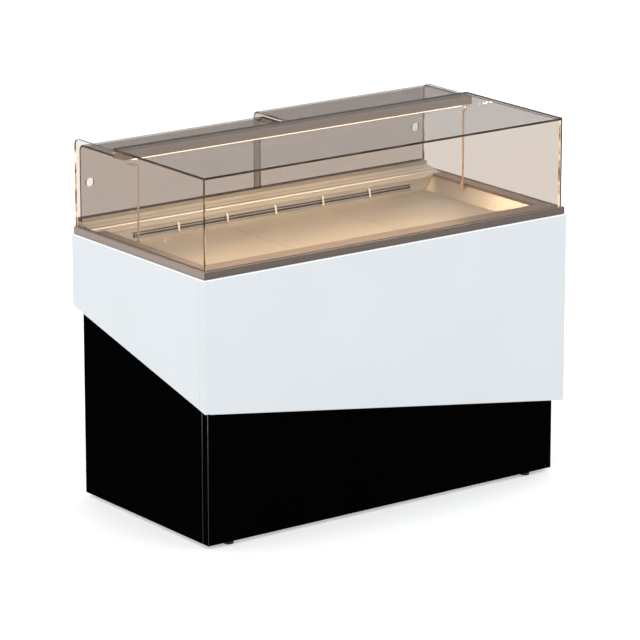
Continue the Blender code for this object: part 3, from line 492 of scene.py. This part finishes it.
def paint_metals():
    dress(bronze("bronze_rim", (0.282, 0.220, 0.184), 0.42), "rim_frame")
    dress(brushed("bronze_bar", (0.40, 0.30, 0.225), 0.36, spread=0.06, metallic=0.6), "light_bar")
    dress(brushed("well_steel", *WELL_STEEL), "tank_liner", "air_duct_panel", "deck_tray_left",
          "deck_tray_middle", "deck_tray_right", "evaporator_fan_plate")
    dress(grooved("ledge_steel", (0.80, 0.765, 0.70), 0.52), "rear_ledge")
    dress(brushed("hinge_steel", (0.60, 0.59, 0.57), 0.34, along="Z"), "grille_hinge")
    dress(brushed("gilt_post", (0.78, 0.58, 0.34), 0.22, along="Z"), "right_post")
    # its pale colour is painted glare: lighter than the post's own bronze so that it fades into the
    # bright surroundings
    dress(brushed("bronze_post", (0.74, 0.66, 0.58), 0.24, along="Z"), "left_post")
    dress(galvanised("galvanised_sheet"), "chassis_frame", "condenser_shroud")
    dress(brushed("track_aluminium", (0.50, 0.46, 0.42), 0.36), "lower_door_track", "upper_door_track")
    dark = brushed("dark_anodising", (0.035, 0.032, 0.030), 0.45, metallic=0.3)
    dress(dark, "air_outlet_grille")
    fins = brushed("fin_aluminium", (0.62, 0.63, 0.64), 0.38, along="Z", spread=0.35)
    dress(fins, "evaporator_coil", "condenser_coil")
    dress(copper("copper_tube"), "suction_pipe", "discharge_pipe", "liquid_pipe")


def paint_plastics():
    dress(foam("polyurethane_foam"), "insulation_tub", "insulation_left", "insulation_right")
    dress(diffuser("lit_diffuser"), "led_diffuser")
    fans = [f"evaporator_fan_{part}_{side}" for part in ("motor", "rotor") for side in SIDES]
    dress(moulded("black_moulding", (0.022, 0.022, 0.023), 0.45), *fans, "condenser_fan_motor",
          "condenser_fan_rotor", "light_switch", "main_switch", "up_button", "down_button", "mains_inlet")
    dress(moulded("grey_moulding", (0.26, 0.27, 0.28), 0.48),
          "drain_pipe", "condensate_tray", "control_panel")
    feet = [f"levelling_foot_{end}_{side}" for end in ("front", "rear") for side in SIDES]
    dress(moulded("foot_rubber", (0.018, 0.018, 0.018), 0.75, 500.0), *feet)


def paint_panes():
    dress(glass("front_pane_glass", "Y"), "front_glass")
    dress(glass("top_pane_glass", "Z", (0.940, 0.908, 0.882), (0.040, 0.024, 0.012), 0.26), "top_glass")
    dress(glass("left_pane_glass", "X", glow=True), "left_glass")
    dress(glass("right_pane_glass", "X", (0.905, 0.885, 0.868), glow=True), "right_glass")
    dress(glass("left_door_glass", "YZ", DOOR_TINT), "left_door")
    dress(glass("right_door_glass", "YZ", DOOR_TINT, edge=(0.16, 0.13, 0.11)), "right_door")


# ---------------------------------------------------------------- shapes finer than the frame
def solid(bm, low, high):
    """Box between two opposite corners."""
    low = Vector(low)
    size = Vector(high) - low
    place = Matrix.Translation(low + size / 2) @ Matrix.Diagonal((*size, 1.0))
    bmesh.ops.create_cube(bm, size=1.0, matrix=place)


def skin(bm, rings):
    """Side faces through rings of points. Returns the rings' vertices."""
    rings = [[bm.verts.new(point) for point in ring] for ring in rings]
    for ring, following in zip(rings, rings[1:]):
        for k in range(len(ring)):
            after = (k + 1) % len(ring)
            bm.faces.new((ring[k], ring[after], following[after], following[k]))
    return rings


def loft(bm, rings):
    """Closed solid through rings of points."""
    rings = skin(bm, rings)
    bm.faces.new(rings[0])
    bm.faces.new(list(reversed(rings[-1])))
    bmesh.ops.recalc_face_normals(bm, faces=bm.faces)


def sweep(bm, path, section):
    """Carry a flat section of (sideways, up) points along a level path, mitred at its corners."""
    path = [Vector(point) for point in path]
    runs = [(after - before).normalized() for before, after in zip(path, path[1:])]
    rings = []
    for index, point in enumerate(path):
        back = runs[max(index - 1, 0)]
        ahead = runs[min(index, len(runs) - 1)]
        side = (back + ahead).normalized().cross(UP)
        reach = 1.0 / side.dot(ahead.cross(UP))
        rings.append([point + side * u * reach + UP * v for u, v in section])
    loft(bm, rings)


def extrude_along(bm, section, low, high):
    """Closed prism along X from a section of (y, z) points."""
    loft(bm, [[(x, y, z) for y, z in section] for x in (low, high)])


def arc(radius, turn, steps):
    """Points on a circle, from +X through the angle turn, without the end point."""
    angles = [turn * k / steps for k in range(steps)]
    return [(radius * math.cos(angle), radius * math.sin(angle)) for angle in angles]


def add_piece(name, bm, material, body="cabinet", rounding=0.0):
    mesh = bpy.data.meshes.new(name)
    bm.to_mesh(mesh)
    bm.free()
    mesh.materials.append(material)
    made = bpy.data.objects.new(name, mesh)
    bpy.context.scene.collection.objects.link(made)
    if rounding:
        bevel = made.modifiers.new("rounded_edges", "BEVEL")
        bevel.width = rounding
        bevel.segments = 2
        bevel.limit_method = "ANGLE"
    mesh.shade_smooth()
    mesh.set_sharp_from_angle(angle=math.radians(35))
    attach(made, body)
    return made


# ---------------------------------------------------------------- canopy and well
def make_glass_seal():
    """Beads of grey silicone outside and inside the panes that stand in the rim."""
    silicone = moulded("grey_silicone", (0.30, 0.27, 0.25), 0.35, 1400.0)
    radius, steps = 0.0011, 6
    half_round = arc(radius, math.pi, steps) + [(-radius, 0.0)]
    rim_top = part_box("rim_frame")[1].z
    low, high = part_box("front_glass")
    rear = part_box("left_glass")[1].y
    for label, inset in (("outer", -0.0004), ("inner", 0.0084)):
        left, right, front = low.x + inset, high.x - inset, low.y + inset
        corners = ((left, rear), (left, front), (right, front), (right, rear))
        bm = bmesh.new()
        sweep(bm, [(x, y, rim_top) for x, y in corners], half_round)
        add_piece(f"pane_seal_{label}", bm, silicone)


def make_slot_clips():
    """White clips that hold the outlet grille in the duct, one on each rib."""
    plastic = moulded("white_clip_plastic", (0.86, 0.80, 0.70), 0.40)
    low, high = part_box("air_outlet_grille")
    foot = ((-0.0015, -0.002), (-0.0045, -0.0005))
    hook = ((0.0005, 0.006), (0.0045, 0.011), (0.0068, 0.010), (0.0030, 0.005))
    section = [(low.y + y, low.z + z) for y, z in foot] + [(low.y + y, high.z + z) for y, z in hook]
    half_width = 0.0035
    for number in range(-2, 3):
        x = number * OUTLET_RIB_PITCH
        bm = bmesh.new()
        extrude_along(bm, section, x - half_width, x + half_width)
        add_piece(f"outlet_clip_{number + 3}", bm, plastic, rounding=0.0006)


def make_outlet_blades():
    """Two bright blades along the front of the cold-air outlet."""
    metal = brushed("blade_aluminium", (0.74, 0.70, 0.63), 0.34)
    low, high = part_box("air_outlet_grille")
    half_height, end_gap = 0.0019, 0.001
    for number, share in enumerate((0.26, 0.74), start=1):
        z = low.z + (high.z - low.z) * share
        y = low.y + DUCT_LEAN * (z - low.z) - 0.0012
        foot, head = z - half_height, z + half_height
        section = [(y, foot), (y - 0.0012, foot + 0.0003), (y - 0.0006, head), (y + 0.0008, head)]
        bm = bmesh.new()
        extrude_along(bm, section, low.x + end_gap, high.x - end_gap)
        add_piece(f"outlet_blade_{number}", bm, metal)


def make_duct_fillers():
    """Folded ends that close the cold-air duct against the end walls of the well."""
    metal = brushed("filler_steel", *WELL_STEEL)
    thickness = 0.0014
    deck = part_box("deck_tray_left")[1].z
    duct_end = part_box("air_duct_panel")[1]
    end, foot, top = duct_end.x + 0.0003, deck + 0.0006, duct_end.z - 0.0005
    corners = ((end, foot), (WALL_FOOT, foot), (WALL_FOOT + top - deck, top), (end, top))
    for name, side in zip(SIDES, (-1, 1)):
        front = [(side * x, DUCT_FOOT + DUCT_LEAN * (z - deck), z) for x, z in corners]
        bm = bmesh.new()
        loft(bm, [front, [(x, y + thickness, z) for x, y, z in front]])
        add_piece(f"duct_filler_{name}", bm, metal)


def make_door_sliders():
    """Nylon shoes on the foot of each door, running in the lower track."""
    nylon = moulded("nylon", (0.62, 0.60, 0.55), 0.35)
    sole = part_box("lower_door_track")[0].z + 0.0022
    inner, outer = 0.0031, 0.0045
    for door in ("left_door", "right_door"):
        low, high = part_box(door)
        middle = high.y - 0.003
        cheek = low.z + 0.0055
        half = [(outer, sole), (outer, cheek), (inner, cheek), (inner, low.z - 0.0002)]
        section = [(middle + y, z) for y, z in half] + [(middle - y, z) for y, z in reversed(half)]
        starts = (low.x + SLIDER_INSET, high.x - SLIDER_INSET - SLIDER_LENGTH)
        for end, start in zip(SIDES, starts):
            bm = bmesh.new()
            extrude_along(bm, section, start, start + SLIDER_LENGTH)
            add_piece(f"{door}_slider_{end}", bm, nylon, body=door, rounding=0.0005)


# ---------------------------------------------------------------- rear face and base
def screw(bm, x, y, z):
    """Domed screw head with a dished middle, its axis along +Y."""
    rings = []
    for share, height in SCREW_PROFILE:
        circle = arc(SCREW_RADIUS * share, math.tau, SCREW_STEPS)
        rings.append([(x + u, y + SCREW_RADIUS * height, z - v) for u, v in circle])
    rings = skin(bm, rings)
    foot = bm.verts.new((x, y, z))
    dish = bm.verts.new((x, y + SCREW_RADIUS * SCREW_RECESS, z))
    for k in range(SCREW_STEPS):
        after = (k + 1) % SCREW_STEPS
        bm.faces.new((rings[0][after], rings[0][k], foot))
        bm.faces.new((rings[-1][k], rings[-1][after], dish))


def make_screws():
    """Screws of the rear panels and the grille, at shares of each node's width and height."""
    steel = brushed("screw_steel", (0.62, 0.61, 0.60), 0.30)
    upper = [(u, v) for u in (0.02, 0.5, 0.98) for v in (0.10, 0.90)]
    lower = [(u, v) for u in (0.04, 0.94) for v in (0.05, 0.5, 0.95)]
    hinged = [(0.02, 0.12), (0.02, 0.88)]
    for node, body, flush_with, places in (
            ("upper_rear_panel", "cabinet", "upper_rear_panel", upper),
            ("base_rear_panel", "cabinet", "base_rear_panel", lower),
            ("rear_grille", "rear_grille", "base_rear_panel", hinged)):
        low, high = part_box(node)
        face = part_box(flush_with)[1].y + 0.0002
        bm = bmesh.new()
        for u, v in places:
            screw(bm, low.x + (high.x - low.x) * u, face, low.z + (high.z - low.z) * v)
        bmesh.ops.recalc_face_normals(bm, faces=bm.faces)
        add_piece(f"{node}_screws", bm, steel, body=body)


def make_corner_beads():
    """Rolled edges at the front corners of the base, and at the seams behind them."""
    # the beads carry a painted highlight along the base corners and seams
    highlight_enamel = rolled_edge("rolled_edge_highlight")
    low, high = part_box("base_front_panel")
    radius, steps, end_gap = 0.0008, 10, 0.001
    tuck = 0.3 * radius
    heights = (low.z + end_gap, (low.z + high.z) / 2, high.z - end_gap)
    for end, x in (("left", low.x + tuck), ("right", high.x - tuck)):
        for place, y in (("corner", low.y), ("seam", high.y + 0.0004)):
            circle = arc(radius, math.tau, steps)
            bm = bmesh.new()
            loft(bm, [[(x + u, y + v, z) for u, v in circle] for z in heights])
            add_piece(f"base_{place}_edge_{end}", bm, highlight_enamel)


def make_digits(middle, face):
    """The reading 04, read from behind, so its segments run towards -X."""
    width, tall, bar, gap = 0.0075, 0.0150, 0.0014, 0.0003
    half = tall / 2
    segments = {
        "a": ((0, tall - bar), (width, tall)),
        "b": ((width - bar, half), (width, tall)),
        "c": ((width - bar, 0), (width, half)),
        "d": ((0, 0), (width, bar)),
        "e": ((0, 0), (bar, half)),
        "f": ((0, half), (bar, tall)),
        "g": ((0, half - bar / 2), (width, half + bar / 2)),
    }
    bm = bmesh.new()
    for digit, start in (("abcdef", middle.x + 0.024), ("bcfg", middle.x + 0.012)):
        for key in digit:
            (u0, v0), (u1, v1) = segments[key]
            foot = middle.z - half
            solid(bm, (start - u1 + gap, face - 0.0004, foot + v0 + gap),
                  (start - u0 - gap, face - 0.0001, foot + v1 - gap))
    add_piece("thermostat_digits", bm, lit_segment("lit_segment"))


def make_display():
    """Dark window of the thermostat, with a lit two-digit reading."""
    low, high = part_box("control_panel")
    middle = (low + high) / 2
    window_low = (middle.x - 0.0295, high.y - 0.0013, middle.z - 0.0135)
    window_high = (middle.x + 0.0595, high.y - 0.0002, middle.z + 0.0135)
    bm = bmesh.new()
    solid(bm, window_low, window_high)
    add_piece("thermostat_window", bm, dark_window("display_window"), rounding=0.0004)
    make_digits(middle, high.y)


# ---------------------------------------------------------------- coils
def make_fins(node, left, right, fin_foot, fin_pitch):
    """Fins between two end plates, in place of the frame's plain coil."""
    low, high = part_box(node)
    margin = 2 * PLATE_HALF
    fin_front, fin_rear, fin_top = low.y + 0.001, high.y - 0.001, high.z - 0.004
    bm = bmesh.new()
    for number in range(1, int((right - left - 2 * margin) / fin_pitch)):
        x = left + margin + number * fin_pitch
        solid(bm, (x - FIN_HALF, fin_front, fin_foot), (x + FIN_HALF, fin_rear, fin_top))
    for x in (left, right):
        solid(bm, (x - PLATE_HALF, low.y, low.z), (x + PLATE_HALF, high.y, high.z))
    metal = brushed(node + "_fins", (0.66, 0.67, 0.68), 0.34, along="Z")
    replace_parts(add_piece(node + "_fin_pack", bm, metal), node)


def make_tubes(node, inside, outside, heights):
    """Pairs of copper tubes through the fins, joined by a bend beyond the outside end plate."""
    low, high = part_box(node)
    middle = (low.y + high.y) / 2
    outward = math.copysign(1.0, outside - inside)
    bend_steps = 8
    curve = bpy.data.curves.new(node + "_tubes", "CURVE")
    curve.dimensions = "3D"
    curve.bevel_depth = TUBE_RADIUS
    curve.bevel_resolution = 3
    curve.use_fill_caps = True
    for z in heights:
        route = [(inside, middle - TUBE_OFFSET, z)]
        for k in range(bend_steps + 1):
            angle = math.pi * k / bend_steps
            reach = TUBE_RADIUS + TUBE_OFFSET * 0.95 * math.sin(angle)
            route.append((outside + outward * reach, middle - TUBE_OFFSET * math.cos(angle), z))
        route.append((inside, middle + TUBE_OFFSET, z))
        spline = curve.splines.new("POLY")
        spline.points.add(len(route) - 1)
        for point, where in zip(spline.points, route):
            point.co = (*where, 1.0)
    curve.materials.append(copper(node + "_tubes"))
    made = bpy.data.objects.new(node + "_tubes", curve)
    bpy.context.scene.collection.objects.link(made)
    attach(made, "cabinet")


def make_coil(node, fin_lift, fin_pitch, bends_at_right, row_lifts):
    """Finned coil. Fins start fin_lift above the node's foot, and tube rows row_lifts above that."""
    low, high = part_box(node)
    fin_foot = low.z + fin_lift
    left = low.x + (PLATE_HALF if bends_at_right else BEND_ROOM)
    right = high.x - (BEND_ROOM if bends_at_right else PLATE_HALF)
    inside, outside = (left, right) if bends_at_right else (right, left)
    make_fins(node, left, right, fin_foot, fin_pitch)
    make_tubes(node, inside, outside, [fin_foot + lift for lift in row_lifts])


make_camera()
make_studio()
paint_panels()
paint_metals()
paint_plastics()
paint_panes()
make_glass_seal()
make_slot_clips()
make_outlet_blades()
make_duct_fillers()
make_door_sliders()
make_screws()
make_coil("condenser_coil", 0.0457, 0.0032, True, (0.04, 0.10, 0.16, 0.22, 0.28))
make_coil("evaporator_coil", 0.0297, 0.0060, False, (0.03, 0.07, 0.11))
make_corner_beads()
make_display()
